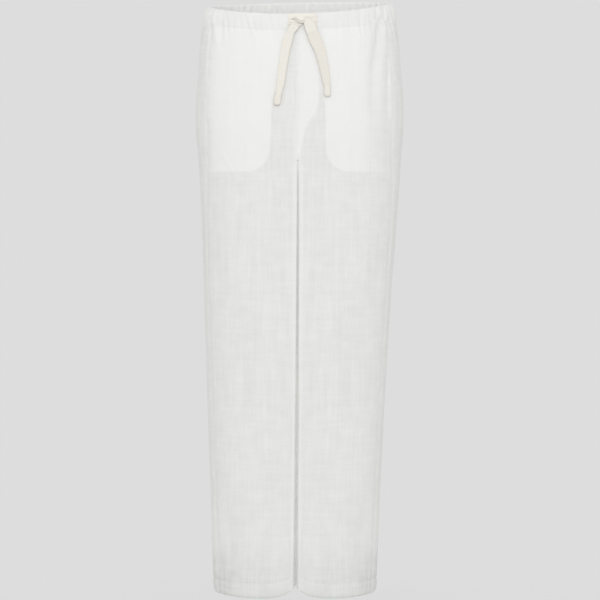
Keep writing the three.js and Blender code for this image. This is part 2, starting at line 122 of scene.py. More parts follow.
def readSection(column, down):
    return steady(sections["down"], sections[column], down)


def riseTurn(down, curveLength):
    # 0 above the rise seam's curve, 1 at the crotch
    t = np.clip((down - (form["crotchDown"] - curveLength)) / curveLength, 0, 1)
    return 1 - np.sqrt(1 - t * t)


def levelSizes(half, down):
    size = {column: readSection(column, down) for column in sectionColumns[1:]}
    edge = size["right"] if half > 0 else size["left"]
    size["inner"] = np.full_like(edge, form["seamGap"])
    size["width"] = np.abs(edge - size["middle"])
    size["crown"] = np.maximum(size["crown"], 0)
    size["seamOut"] = size["width"] - size["seamIn"]
    notch = np.minimum(size["notch"], form["notchShare"] * size["crown"])
    size["notch"] = np.maximum(notch, form["seamGap"])
    frontTurn = riseTurn(down, form["frontRiseCurve"])
    backTurn = riseTurn(down, form["backRiseCurve"])
    foot = size["roll"] - size["front"]
    size["frontSeam"] = foot + (size["widest"] - foot) * frontTurn
    size["backSeam"] = size["back"] + (size["widest"] - size["back"]) * backTurn
    return size


def quarterArc(start, end, power, low, high, steps=150):
    # A superellipse quarter at every level, from its start on one axis to its end on the other, as
    # out and deep. low and high are the angles that it runs between.
    angle = low + (high - low) * np.linspace(0, 1, steps)[None, :]
    power = power[:, None]
    along = np.clip(np.sin(angle), 0, 1) ** (2 / power)
    short = np.clip(np.cos(angle), 0, 1) ** (2 / power)
    out = start[0][:, None] + (end[0] - start[0])[:, None] * along
    deep = end[1][:, None] + (start[1] - end[1])[:, None] * short
    return np.stack([out, deep])


def frontInner(size, steps=60):
    # From a leg's front ridge it rolls back gently, dips into the groove and runs straight back
    t = np.linspace(0, 1, steps)[None, :]
    keys = ("crown", "notch", "inner", "roll", "frontSeam")
    crown, notch, inner, roll, seam = (size[key][:, None] for key in keys)
    front = roll - size["front"][:, None]
    deepest = np.minimum(front + size["notchDepth"][:, None], np.maximum(seam, front))
    out = np.concatenate([crown + (notch - crown) * t, notch + (inner - notch) * t, inner + 0 * t], axis=1)
    dip = front + (deepest - front) * (1 - np.cos(math.pi * t)) / 2
    deep = np.concatenate([front - roll + roll * t**2, dip, deepest + (seam - deepest) * t], axis=1)
    return np.stack([out, deep])


def levelLines(half, face, down):
    # The cloth's level lines from the middle seam to the side seam, as finely stepped lines
    size = levelSizes(half, down)
    power = size["outerPower"]
    quarter = np.full((len(down), 1), math.pi / 2)
    none = quarter * 0
    seamPart = (size["seamOut"] - size["crown"]) / (size["width"] - size["crown"])
    turn = np.arcsin(np.clip(seamPart, 0, 1) ** (power / 2))[:, None]
    side = (size["width"], size["widest"])
    frontCrown, backCrown = (size["crown"], -size["front"]), (size["crown"], size["back"])
    if face == "front":
        parts = [frontInner(size)[:, :, ::-1], quarterArc(frontCrown, side, power, none, turn)]
    else:
        inner = quarterArc(backCrown, (size["inner"], size["backSeam"]), size["backPower"], none, quarter)
        lap = quarterArc(frontCrown, side, power, turn, quarter)   # round the edge to the side seam
        parts = [inner[:, :, ::-1], quarterArc(backCrown, side, power, none, quarter), lap[:, :, ::-1]]
    out, deep = np.concatenate(parts, axis=2)
    steps = np.hypot(np.diff(out, axis=1), np.diff(deep, axis=1))
    lengths = np.concatenate([none, np.cumsum(steps, axis=1)], axis=1)
    return size, out, deep, lengths


def placeAtOut(out, lengths, wanted):
    # How far along each line it first lies the wanted distance out
    rising = np.maximum.accumulate(out, axis=1) + np.arange(out.shape[1]) * 1e-9
    wanted = np.broadcast_to(wanted, (len(out),))
    return np.array([np.interp(w, o, l) for w, o, l in zip(wanted, rising, lengths)])


def alongLines(places, lengths, values):
    return np.array([np.interp(p, l, v) for p, l, v in zip(places, lengths, values)])


def edgeRise(size, half, out, deep, down):
    # How far the level lines rise over their level, at the waist and at the hem
    waist = 1 - smooth(down, 0, form["waistTiltReach"])
    hem = smooth(down, form["hemDown"] - form["hemShapeReach"], form["hemDown"])
    forward = np.maximum(-deep / size["front"][:, None], 0) ** form["tiltPower"]
    backward = np.maximum(deep / size["back"][:, None], 0) ** form["tiltPower"]
    sideways = half * out / size["width"][:, None]
    inward = 1 - out / size["width"][:, None]
    waistRise = form["backLift"] * backward - form["frontDip"] * forward + form["leftRaise"] * sideways
    hemRise = form["inseamLift"] * inward ** form["inseamLiftPower"] - form["frontHemDroop"] * forward
    return waist[:, None] * waistRise + hem[:, None] * hemRise


def columnPlaces(out, lengths, counts):
    # How far along its line each column lies: some run down the leg's inner face, some round its
    # corner, and the rest spread evenly to the side seam.
    innerCount, cornerCount, restCount = counts
    corner = placeAtOut(out, lengths, spacing["cornerOut"])[:, None]
    start = placeAtOut(out, lengths, spacing["seamOut"])[:, None]
    turn = np.maximum(start, spacing["cornerShare"] * corner)
    crowd = 1 - (1 - np.linspace(0, 1, innerCount, endpoint=False)) ** spacing["crowding"]
    around = np.linspace(0, 1, cornerCount, endpoint=False)
    rest = np.linspace(0, 1, restCount)
    parts = [turn * crowd, turn + (corner - turn) * around, corner + (lengths[:, -1:] - corner) * rest]
    return np.concatenate(parts, axis=1)


def halfSurface(half, down, frontCounts, backCounts):
    # One half of the garment as a grid: a row for each level, and columns from the front's middle
    # seam round the side seam to the back's middle seam.
    parts = []
    for face, counts in (("front", frontCounts), ("back", backCounts)):
        size, out, deep, lengths = levelLines(half, face, down)
        places = columnPlaces(out, lengths, counts)
        across = places - placeAtOut(out, lengths, form["grainOut"])[:, None] + form["grainOut"]
        found = [alongLines(places, lengths, values) for values in (out, deep)]
        part = np.stack(found + [across, places, lengths[:, -1:] - places])
        parts.append(part if face == "front" else part[:, :, ::-1])
    surface = dict(zip(("out", "deep", "across", "fromSeam", "fromSide"), np.concatenate(parts, axis=2)))
    out, deep = surface["out"], surface["deep"]
    rise = edgeRise(size, half, out, deep, down)
    points = np.stack([size["middle"][:, None] + half * out, deep, rise - down[:, None]], axis=2)
    normals = np.cross(np.gradient(points, axis=1), np.gradient(points, axis=0)) * -half
    normals /= np.maximum(np.linalg.norm(normals, axis=2, keepdims=True), 1e-12)
    surface.update(points=points, normals=normals, down=np.broadcast_to(down[:, None], out.shape).copy())
    return surface, size, sum(frontCounts)


def faceOf(surface, size, count, face):
    # The front's or the back's columns of a half
    columns = slice(0, count) if face == "front" else slice(count, None)
    chosen = {key: value[:, columns] for key, value in surface.items()}
    chosen["size"] = size
    return chosen


def moved(surface, half, height):
    # The surface moved out by height, each half staying on its own side of the middle seam
    points = surface["points"] + surface["normals"] * height[:, :, None]
    middle = surface["size"]["middle"][:, None]
    points[:, :, 0] = middle + half * np.maximum(half * (points[:, :, 0] - middle), form["seamGap"])
    return points


def frontDepth(half, out, down):
    # How deep the front's level lines lie at places out and down
    size, lineOut, lineDeep, lengths = levelLines(half, "front", down)
    return size, alongLines(placeAtOut(lineOut, lengths, out), lengths, lineDeep)


def frontPlaces(across, down, standOff):
    # Points over the front of the garment at places across and down, moved out by standOff
    across, down, standOff = np.broadcast_arrays(*(np.asarray(v, float) for v in (across, down, standOff)))
    points = np.zeros(across.shape + (3,))
    offset = across - readSection("middle", down)
    step = 0.001
    for half in halves.values():
        chosen = (offset >= 0) if half > 0 else (offset < 0)
        if not chosen.any():
            continue
        out, level = np.abs(offset[chosen]), down[chosen]
        size, here = frontDepth(half, out, level)
        above, below = (frontDepth(half, out, level + shift)[1] for shift in (-step, step))
        beside = frontDepth(half, out + step, level)[1]
        slopes = [half * (beside - here) / step, -np.ones_like(here), (below - above) / (2 * step)]
        outward = np.stack(slopes, axis=1)
        outward /= np.linalg.norm(outward, axis=1, keepdims=True)
        rise = edgeRise(size, half, out[:, None], here[:, None], level)[:, 0]
        base = np.stack([across[chosen], here, rise - level], axis=1)
        points[chosen] = base + outward * standOff[chosen][:, None]
    return points


def wallFaces(rows, columns):
    # Faces of a closed wall between two grids, the outer grid's points first
    index = np.arange(rows * columns).reshape(rows, columns)
    back = index + rows * columns

    def quads(*corners):
        return np.stack([corner.ravel() for corner in corners], axis=1)

    return np.concatenate([
        quads(index[:-1, :-1], index[1:, :-1], index[1:, 1:], index[:-1, 1:]),
        quads(back[:-1, :-1], back[:-1, 1:], back[1:, 1:], back[1:, :-1]),
        quads(index[0, :-1], index[0, 1:], back[0, 1:], back[0, :-1]),
        quads(index[-1, :-1], back[-1, :-1], back[-1, 1:], index[-1, 1:]),
        quads(index[:-1, 0], back[:-1, 0], back[1:, 0], index[1:, 0]),
        quads(index[:-1, -1], index[1:, -1], back[1:, -1], back[:-1, -1]),
    ])


def facedOut(points, faces):
    # The same faces, turned so that they point out of the closed body
    volume = 0
    for corners in ((0, 1, 2), (0, 2, 3)):
        a, b, c = (points[faces[:, corner]] for corner in corners)
        volume += np.einsum("ij,ij->", a, np.cross(b, c))
    return faces if volume > 0 else faces[:, ::-1]


creaseAngle = math.radians(60)


def wallPiece(name, walls, mask, material):
    # One smooth-shaded piece of closed walls. A wall has its outer and inner grid, its grain and the
    # strength of the mask on its outer and inner face.
    points, faces, masks, grains = [], [], [], []
    start = 0
    for wall in walls:
        shape = wall["outer"].shape[:2]
        own = np.concatenate([wall["outer"].reshape(-1, 3), wall["inner"].reshape(-1, 3)])
        points.append(own)
        faces.append(facedOut(own, wallFaces(*shape)) + start)
        masks.extend(np.broadcast_to(values, shape).ravel() for values in wall["masks"])
        grains.extend([wall["grain"].reshape(-1, 2)] * 2)
        start += len(own)
    points, faces, masks, grains = (np.concatenate(parts) for parts in (points, faces, masks, grains))
    mesh = bpy.data.meshes.new(name)
    mesh.from_pydata(points.tolist(), [], faces.tolist())
    mesh.shade_smooth()
    mesh.set_sharp_from_angle(angle=creaseAngle)
    uv = mesh.uv_layers.new(name="grain")
    uv.data.foreach_set("uv", grains[faces.ravel()].astype(np.float32).ravel())
    layer = mesh.attributes.new(mask, "FLOAT", "POINT")
    layer.data.foreach_set("value", masks.astype(np.float32))
    mesh.materials.append(material)
    piece = bpy.data.objects.new(name, mesh)
    bpy.context.scene.collection.objects.link(piece)
    return piece


def fasten(piece, node):
    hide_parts(node)
    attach(piece, "root")


# Camera at the height of the hips, looking very slightly down
camera = {"distance": 4.5, "elevation": 3.2, "frameWidth": 1.032, "across": 0.0009, "down": 0.506,
          "sensorMm": 36, "farthest": 100}


def makeCamera():
    data = bpy.data.cameras.new("camera")
    view = bpy.data.objects.new("camera", data)
    bpy.context.scene.collection.objects.link(view)
    rise = math.radians(camera["elevation"])
    target = Vector((camera["across"], 0, -camera["down"]))
    view.location = target + camera["distance"] * Vector((0, -math.cos(rise), math.sin(rise)))
    view.rotation_euler = (math.pi / 2 - rise, 0, 0)
    data.sensor_width = camera["sensorMm"]
    data.lens = camera["sensorMm"] * camera["distance"] / camera["frameWidth"]
    data.clip_end = camera["farthest"]
    bpy.context.scene.camera = view


makeCamera()
print("camera placed")


def fill(tree, node, inputs):
    # Each of a node's inputs, by name or number, gets a value or a link from another node's output
    for key, value in inputs.items():
        if isinstance(value, bpy.types.NodeSocket):
            tree.links.new(value, node.inputs[key])
        else:
            node.inputs[key].default_value = value


def addNode(tree, kind, inputs, **settings):
    node = tree.nodes.new("ShaderNode" + kind)
    for key, value in settings.items():
        setattr(node, key, value)
    fill(tree, node, inputs)
    return node


def addMath(tree, operation, *values):
    return addNode(tree, "Math", dict(enumerate(values)), operation=operation).outputs[0]


# Woven cloth with thick and thin yarns. Grain is across and down the cloth, in metres. Each kind of
# streak has its name, its scale across, down and through, and its weight.
slubs = {
    "fine": (("weft", (34, 420, 1), 0.62), ("warp", (420, 34, 1), 0.85)),
    "broad": (("weft", (16, 150, 1), 0.70), ("warp", (170, 10, 1), 1.15)),
    "mottle": (("cloud", (34, 38, 1), 1.0), ("drift", (30, 6, 1), 1.0)),
    "wander": 0.004,
    "wanderScale": 18,
    "threadHeight": 0.3,
}
weaveSockets = (
    ("INPUT", "Grain", "Vector"),
    ("INPUT", "Colour", "Color"),
    ("INPUT", "Slub Contrast", "Float"),
    ("INPUT", "Thread Pitch", "Float"),
    ("INPUT", "Twill Slant", "Float"),
    ("OUTPUT", "Colour", "Color"),
    ("OUTPUT", "Height", "Float"),
)


def makeWeaveGroup():
    group = bpy.data.node_groups.new("woven cloth", "ShaderNodeTree")
    face = group.interface
    for way, name, kind in weaveSockets:
        face.new_socket(name=name, in_out=way, socket_type="NodeSocket" + kind)
    enter = group.nodes.new("NodeGroupInput").outputs
    leave = group.nodes.new("NodeGroupOutput")

    # Yarns wander a little off the straight
    wander = {"Vector": enter["Grain"], "Scale": slubs["wanderScale"], "Detail": 1}
    amount = addNode(group, "TexNoise", wander).outputs["Color"]
    bend = {0: amount, 1: (slubs["wander"],) * 3, 2: enter["Grain"]}
    bent = addNode(group, "VectorMath", bend, operation="MULTIPLY_ADD").outputs[0]

    def streaks(kind, scale, weight):
        drawn = addNode(group, "Mapping", {"Vector": bent, "Scale": scale}).outputs[0]
        noise = addNode(group, "TexNoise", {"Vector": drawn, "Scale": 1, "Detail": 2}, label=kind)
        return addMath(group, "MULTIPLY_ADD", noise.outputs["Fac"], weight, -0.5 * weight)

    sums = {}
    for size in ("fine", "broad", "mottle"):
        first, second = (streaks(*row) for row in slubs[size])
        sums[size] = addMath(group, "ADD", first, second)
    total = addMath(group, "ADD", sums["fine"], addMath(group, "ADD", sums["broad"], sums["mottle"]))
    tone = addMath(group, "MULTIPLY_ADD", total, enter["Slub Contrast"], 1.0)
    scaled = addNode(group, "VectorMath", {0: enter["Colour"], "Scale": tone}, operation="SCALE")

    split = addNode(group, "SeparateXYZ", {0: enter["Grain"]}).outputs
    turns = addMath(group, "DIVIDE", 2 * math.pi, enter["Thread Pitch"])
    slanted = addMath(group, "MULTIPLY_ADD", split["Y"], enter["Twill Slant"], split["X"])
    waveAcross = addMath(group, "SINE", addMath(group, "MULTIPLY", slanted, turns))
    waveDown = addMath(group, "SINE", addMath(group, "MULTIPLY", split["Y"], turns))
    threads = addMath(group, "MULTIPLY", waveAcross, waveDown)
    height = addMath(group, "MULTIPLY_ADD", threads, slubs["threadHeight"], sums["fine"])
    fill(group, leave, {"Colour": scaled.outputs[0], "Height": height})
    return group


weaveGroup = makeWeaveGroup()


def makeCloth(name, look):
    # The mask mixes the two tones: single and doubled cloth, or a tape's plain colour and its painted edge
    # shade. Masks over 1 are whiter still, as on the casing's inner face, where that whiteness is painted
    # light. Lowered masks on the cloth are painted shade low on the legs, and tape masks below 0 are
    # painted light in the knot.
    material = bpy.data.materials.new(name)
    material.use_nodes = True
    tree = material.node_tree
    mask = addNode(tree, "Attribute", {}, attribute_name=look["mask"]).outputs["Fac"]
    tones = {"Factor": mask, "A": (*look["plain"], 1), "B": (*look["masked"], 1)}
    mix = addNode(tree, "Mix", tones, data_type="RGBA", clamp_factor=False)
    contrast = addMath(tree, "MULTIPLY_ADD", mask, look["maskedContrast"] - look["slubContrast"],
                       look["slubContrast"])
    weave = addNode(tree, "Group", {
        "Grain": addNode(tree, "UVMap", {}, uv_map="grain").outputs[0],
        "Colour": mix.outputs["Result"],
        "Slub Contrast": contrast,
        "Thread Pitch": look["threadPitch"],
        "Twill Slant": look["twillSlant"],
    }, node_tree=weaveGroup)
    bump = addNode(tree, "Bump", {
        "Height": weave.outputs["Height"],
        "Strength": look["bumpStrength"],
        "Distance": look["bumpDistance"],
    })
    fill(tree, tree.nodes["Principled BSDF"], {
        "Base Color": weave.outputs["Colour"],
        "Normal": bump.outputs[0],
        "Roughness": look["roughness"],
        "Specular IOR Level": look["specular"],
        "Sheen Weight": look["sheen"],
        "Sheen Roughness": look["sheenRoughness"],
    })
    return material


hempLook = {
    "mask": "doubledAndPaintedShading",
    "plain": (0.842, 0.842, 0.826),
    "masked": (0.902, 0.902, 0.888),
    "slubContrast": 0.085,
    "maskedContrast": 0.03,
    "threadPitch": 0.0011,
    "twillSlant": 0.0,
    "bumpStrength": 0.4,
    "bumpDistance": 0.0003,
    "roughness": 0.92,
    "specular": 0.2,
    "sheen": 0.04,
    "sheenRoughness": 0.6,
}
casingLook = dict(hempLook, slubContrast=0.06, bumpStrength=0.5)
pocketingLook = dict(hempLook, slubContrast=0.04, threadPitch=0.0008, plain=(0.86, 0.86, 0.845))
# The tape's masked tone is painted shade, for its edges, its tip and whole strands
tapeLook = dict(hempLook, mask="edge", plain=(0.890, 0.860, 0.795), masked=(0.66, 0.615, 0.54),
                slubContrast=0.06, maskedContrast=0.06, threadPitch=0.0013, twillSlant=1.0,
                bumpStrength=0.6, roughness=0.85, specular=0.25, sheen=0.05)
hempCloth = makeCloth("hemp cloth", hempLook)
casingCloth = makeCloth("casing cloth", casingLook)
pocketing = makeCloth("pocketing", pocketingLook)
creamTape = makeCloth("cream tape", tapeLook)
print("materials made")


# Flat drawstring tape. Each stop of a route is how far across and down it lies, how far its middle
# stands off the cloth, its width, and how far its left and right edges roll up.
stopColumns = ("across", "down", "standOff", "width", "leftRoll", "rightRoll")
tape = {
    "width": 0.014,
    "thickness": 0.0011,
    "endThickness": 0.0022,
    "edgeThickness": 0.2,   # share of the thickness left at its edges
    "groove": 0.00035,   # inside each selvage
    "grooveFromEdge": 0.002,
    "grooveWidth": 0.0006,
    "shadeWidth": 0.0013,
    "tipWidth": 0.002,
    "rollPower": 2.5,
    "columns": 15,
    "tailRows": 64,
    "endRows": 24,
    "strandRows": 36,
}


def ribbon(stops, thickness, rows, pleats=0, pleatDepth=0.0, edgeShade=(0, 0), tone=0.0, tipShadow=0.0):
    # Grids of a flat tape's outer and inner face, its shade mask and its grain. The mask is painted shade:
    # darker along the tape's left and right edges, where they roll up or stand off the cloth, darker or
    # lighter over all of it by tone, and a painted shadow at its far end.
    stops = np.array(stops) * mm
    stops = np.pad(stops, ((0, 0), (0, len(stopColumns) - stops.shape[1])))   # no roll if none is stated
    run = np.concatenate([[0], np.cumsum(np.hypot(np.diff(stops[:, 0]), np.diff(stops[:, 1])))])
    wanted = np.linspace(0, run[-1], rows)
    route = steady(run, stops, wanted)
    at = dict(zip(stopColumns, np.split(route, len(stopColumns), axis=1)))
    along = np.gradient(route[:, :2], axis=0)
    along /= np.linalg.norm(along, axis=1, keepdims=True)
    side = np.sin(np.linspace(-1, 1, tape["columns"]) * math.pi / 2)[None, :]
    across = at["across"] + along[:, 1:2] * side * at["width"] / 2
    down = at["down"] - along[:, :1] * side * at["width"] / 2
    roll = np.where(side < 0, at["leftRoll"], at["rightRoll"]) * np.abs(side) ** tape["rollPower"]
    wave = pleatDepth * np.cos(math.pi * pleats * side) * (1 - side**4)
    fromEdge = (1 - np.abs(side)) * at["width"] / 2
    groove = -tape["groove"] * bell(fromEdge - tape["grooveFromEdge"], tape["grooveWidth"])
    full = np.sqrt(np.clip(1 - side**8, 0, 1))
    half = 0.5 * thickness * (tape["edgeThickness"] + (1 - tape["edgeThickness"]) * full)
    middle = at["standOff"] + roll + wave
    outer = frontPlaces(across, down, middle + half + groove)
    inner = frontPlaces(across, down, middle - half)
    # Painted shade along the edges and over the whole tape, and a painted shadow at the tip
    shade = tone + np.where(side < 0, edgeShade[0], edgeShade[1]) * bell(fromEdge, tape["shadeWidth"])
    shade = shade + tipShadow * bell(run[-1] - wanted, tape["tipWidth"])[:, None]
    centre = frontPlaces(route[:, 0], route[:, 1], route[:, 2])
    lengths = np.concatenate([[0], np.cumsum(np.linalg.norm(np.diff(centre, axis=0), axis=1))])
    grain = np.stack(np.broadcast_arrays(side * tape["width"] / 2, lengths[:, None]), axis=2)
    return {"outer": outer, "inner": inner, "masks": (shade, shade), "grain": grain, "centre": centre,
            "length": float(lengths[-1])}


# Each tail runs from the knot to its end, which is folded over once
# Each tail's looks are painted shade on its edges and over its length
tails = {
    "left": {
        "looks": {"edgeShade": (0.10, 0.42), "tone": 0.0},
        "route": (
            (-14.4, 31.5, 2.6, 12.8, 0.2, 0.6),
            (-16.7, 37.8, 2.2, 14.4, 0.2, 0.8),
            (-19.4, 46.8, 1.9, 15.6, 0.3, 1.0),
            (-23.6, 65.3, 1.5, 15.6, 0.5, 1.2),
            (-25.8, 84.1, 1.4, 14.3, 0.7, 1.4),
            (-28.6, 103.2, 1.4, 14.3, 0.8, 1.3),
            (-30.7, 122.4, 1.4, 13.8, 0.8, 1.2),
            (-32.7, 137.6, 1.5, 12.0, 0.6, 1.2),
            (-34.6, 148.0, 1.7, 10.8, 0.4, 0.8),
        ),
        "end": (
            (-34.5, 147.5, 2.1, 10.4, 0.4, 0.6),
            (-35.7, 153.0, 2.5, 11.2, 0.2, 0.4),
            (-36.6, 159.0, 2.7, 12.0, 0.0, 0.0),
            (-37.1, 166.0, 2.6, 11.6, 0.0, 0.0),
            (-37.2, 170.0, 2.2, 9.6, 0.0, 0.0),
            (-37.2, 171.2, 1.8, 7.0, 0.0, 0.0),
        ),
    },
    "right": {
        "looks": {"edgeShade": (0.55, 0.12), "tone": 0.16},
        "route": (
            (20.6, 30.8, 2.6, 18.0, 1.0, 0.2),
            (23.3, 37.8, 2.2, 20.0, 1.4, 0.2),
            (26.5, 46.8, 1.9, 20.5, 1.6, 0.3),
            (33.7, 65.3, 1.5, 19.0, 1.6, 0.4),
            (37.7, 84.1, 1.4, 16.5, 1.4, 0.5),
            (41.2, 103.2, 1.4, 15.5, 1.3, 0.6),
            (44.1, 122.4, 1.4, 13.8, 1.2, 0.6),
            (45.8, 136.0, 1.6, 11.2, 0.8, 0.5),
        ),
        "end": (
            (45.8, 135.5, 2.1, 10.6, 0.6, 0.4),
            (46.1, 140.0, 2.5, 10.4, 0.4, 0.4),
            (46.4, 147.0, 2.7, 11.2, 0.0, 0.0),
            (46.5, 151.5, 2.5, 10.6, 0.0, 0.0),
            (46.6, 154.6, 2.0, 8.4, 0.0, 0.0),
            (46.6, 155.4, 1.8, 6.2, 0.0, 0.0),
        ),
    },
}
# The folded ends get painted shade on both edges and a painted shadow at the tip
endLooks = {"edgeShade": (0.55, 0.55), "tipShadow": 0.7}


def layTails():
    for side, tail in tails.items():
        strip = ribbon(tail["route"], tape["thickness"], tape["tailRows"], **tail["looks"])
        piece = wallPiece("tape_tail_" + side, [strip], "edge", creamTape)
        folded = ribbon(tail["end"], tape["endThickness"], tape["endRows"], **endLooks)
        end = wallPiece("tape_end_" + side, [folded], "edge", creamTape)
        fasten(piece, "drawstring_tail_" + side)
        fasten(end, "drawstring_end_" + side)
        print("tail", side, "is", round(strip["length"], 3), "m long")


layTails()

# Half knot. Each strand is a ribbon: how it looks, with its painted shade and light, how it is pleated, and
# its stops.
knotStrands = {
    # The top strand's negative tone is a painted highlight
    "top": ({"edgeShade": (0.0, 0.1), "tone": -0.15}, (
        (-19.0, 5.0, 1.2, 9.0),
        (-8.0, 4.0, 2.2, 8.8),
        (6.0, 3.8, 2.6, 8.4),
        (18.0, 4.4, 2.4, 9.0),
        (25.5, 6.2, 1.2, 11.0),
    )),
    # Painted light fills the knot's eye, which lies in shade
    "inside the eye": ({"tone": -0.35}, (
        (-7, 8.5, 2.2, 6),
        (1, 10.5, 2.6, 11),
        (11, 11.5, 2.2, 11),
    )),
    "out of the left hole": ({"edgeShade": (0.1, 0.2), "tone": 0.05, "pleats": 4, "pleatDepth": 0.0011}, (
        (-19, 18.5, 1.2, 20),
        (-12, 18.5, 2.4, 19),
        (-5, 17.2, 3.2, 15),
        (2, 15.0, 3.0, 10),
    )),
    "down to the left tail": ({"edgeShade": (0.1, 0.3)}, (
        (-4.0, 16.0, 2.8, 12, 0.0, 0.0),
        (-8.5, 22.5, 3.4, 14, 0.0, 0.6),
        (-12.8, 28.5, 3.0, 13, 0.2, 0.6),
        (-14.8, 32.5, 2.6, 13, 0.2, 0.6),
    )),
    "out of the right hole": ({"edgeShade": (0.0, 0.15), "tone": 0.05, "pleats": 2, "pleatDepth": 0.0009}, (
        (30.5, 14.0, 1.0, 17),
        (24.0, 13.0, 2.2, 17),
        (17.0, 11.5, 3.2, 13),
        (10.0, 9.5, 3.8, 9),
    )),
    "down to the right tail": ({"edgeShade": (0.45, 0.25), "pleats": 1, "pleatDepth": 0.0004}, (
        (8.5, 9.0, 4.0, 8.0, 0.0, 0.0),
        (13.0, 14.0, 4.4, 14.0, 0.4, 0.3),
        (17.0, 21.0, 3.8, 18.5, 0.8, 0.2),
        (20.0, 29.0, 3.0, 19.0, 1.0, 0.2),
        (21.4, 32.5, 2.6, 19.0, 1.2, 0.2),
    )),
    # Painted shade on the rolled edges of the strand under the eye
    "under the eye": ({"edgeShade": (0.9, 0.9), "tone": 0.1}, (
        (-8.5, 6.8, 3.4, 3.6),
        (-3.5, 11.0, 4.2, 4.2),
        (3.0, 14.6, 4.6, 4.6),
        (8.5, 12.2, 4.4, 4.4),
        (11.0, 8.0, 3.8, 3.8),
    )),
}


def tieKnot():
    strands = []
    for looks, stops in knotStrands.values():
        strands.append(ribbon(stops, tape["thickness"], tape["strandRows"], **looks))
    fasten(wallPiece("tape_knot", strands, "edge", creamTape), "drawstring_knot")


tieKnot()
print("drawstring laid")


def readRows(columns, rows, units=mm):
    # One dictionary for each row of a table
    return [dict(zip(columns, row)) for row in np.array(rows) * units]


# Soft folds, each along a straight line: where it starts and ends, out from the middle line and down
# from the waist, how wide it is and how far it stands up.
foldColumns = ("startOut", "startDown", "endOut", "endDown", "width", "height")
foldRows = {
    ("front", "left"): (
        (140.5, 0, 129, 120, 7.5, -5.0),
        (127.0, 75, 124, 225, 9.5, -3.0),
        (150.0, 5, 134, 150, 6.0, 1.4),
        (155.0, 25, 151, 235, 6.0, -2.8),
        (100.0, 30, 97, 110, 6.0, 0.8),
        (78.0, 340, 86, 720, 19.0, 1.2),
        (126.0, 420, 118, 780, 17.0, -1.2),
        (72.0, 980, 113, 977, 5.0, -1.4),
        (106.0, 890, 110, 1000, 6.0, -1.0),
    ),
    ("front", "right"): (
        (146.0, 0, 140, 65, 4.5, 1.8),
        (135.0, 4, 133, 75, 4.0, -1.4),
        (131.0, 250, 83, 334, 4.5, 1.0),
        (126.0, 261, 78, 345, 6.0, -0.8),
        (82.0, 360, 94, 760, 19.0, 1.2),
        (132.0, 500, 122, 860, 17.0, -1.2),
        (131.5, 915, 131, 1002, 5.0, -1.5),
        (112.0, 900, 111, 998, 5.5, -1.3),
        (90.0, 978, 124, 974, 5.0, -1.6),
    ),
    ("back", "left"): (
        (70, 20, 82, 190, 10.0, -2.4),
        (104, 20, 110, 230, 10.0, 2.4),
        (146, 25, 150, 170, 8.0, -1.8),
        (30, 235, 120, 330, 10.5, -2.6),
        (45, 290, 128, 395, 10.0, 1.8),
        (20, 330, 92, 430, 9.0, -1.4),
        (92, 400, 100, 840, 17.0, 2.0),
        (52, 520, 56, 960, 15.0, -1.8),
        (140, 300, 132, 760, 12.0, -1.6),
        (78, 880, 82, 1004, 8.0, -1.4),
    ),
    ("back", "right"): (
        (78, 25, 76, 170, 10.0, 2.2),
        (116, 20, 122, 240, 10.0, -2.6),
        (150, 25, 152, 150, 8.0, 1.6),
        (28, 240, 110, 345, 10.5, -2.4),
        (50, 300, 136, 380, 10.0, 1.7),
        (24, 345, 86, 440, 9.0, -1.3),
        (100, 430, 94, 820, 17.0, 1.9),
        (60, 480, 54, 930, 15.0, -1.8),
        (144, 330, 138, 800, 12.0, -1.6),
        (70, 900, 68, 1004, 8.0, -1.2),
    ),
}
folds = {place: readRows(foldColumns, rows) for place, rows in foldRows.items()}
# A fold rises and fades between these shares of its line, and widens from its start to its end
foldShape = {"overrun": 0.2, "rise": (-0.1, 0.25), "fade": (0.55, 1.1), "startWidth": 0.8, "endWidth": 1.3}

# Puckers under the elastic in front: how far across from the middle line, to the wearer's left as
# plus, lean, width and height, and how far below the casing they run on.
puckerColumns = ("across", "lean", "width", "height", "reach")
puckerUnits = (mm, 1, mm, mm, mm)
puckerRows = (
    (-156.0, 0.05, 2.2, -1.2, 14),
    (-150.0, 0.10, 2.0, -1.4, 16),
    (-144.5, -0.25, 2.6, 2.4, 20),
    (-136.5, 0.05, 2.4, 0.8, 16),
    (-130.0, -0.05, 2.2, -1.6, 20),
    (-123.5, 0.10, 2.0, -1.2, 28),
    (-117.0, 0.05, 2.6, 0.8, 12),
    (-110.0, -0.10, 2.2, -0.7, 12),
    (-100.0, 0.10, 2.6, -0.8, 14),
    (-90.0, 0.28, 2.0, -0.7, 10),
    (-84.0, 0.30, 2.2, 1.3, 10),
    (-78.5, 0.28, 2.0, -1.1, 12),
    (-63.0, 0.05, 2.8, 0.6, 10),
    (-50.0, 0.18, 2.6, -0.9, 14),
    (-33.0, -0.05, 2.6, 0.5, 10),
    (43.0, 0.05, 2.8, 0.6, 12),
    (51.0, 0.05, 2.6, -0.5, 12),
    (59.0, 0.08, 2.8, 0.7, 14),
    (66.5, -0.05, 2.2, -0.6, 12),
    (73.0, -0.10, 2.6, 0.7, 16),
    (83.5, 0.12, 2.2, -1.4, 16),
    (94.5, 0.22, 2.4, 1.7, 14),
    (102.5, 0.05, 2.2, -1.5, 16),
    (109.0, -0.05, 2.4, 1.0, 18),
    (114.5, 0.10, 2.2, 0.8, 20),
    (119.5, 0.18, 1.8, -1.6, 16),
    (123.5, 0.42, 2.4, 2.8, 16),
    (131.0, 0.05, 2.0, -2.8, 26),
    (137.5, 0.36, 2.4, 2.6, 20),
    (145.0, 0.10, 2.0, -1.6, 20),
    (152.0, 0.05, 2.2, 1.4, 18),
)
puckers = readRows(puckerColumns, puckerRows, puckerUnits)
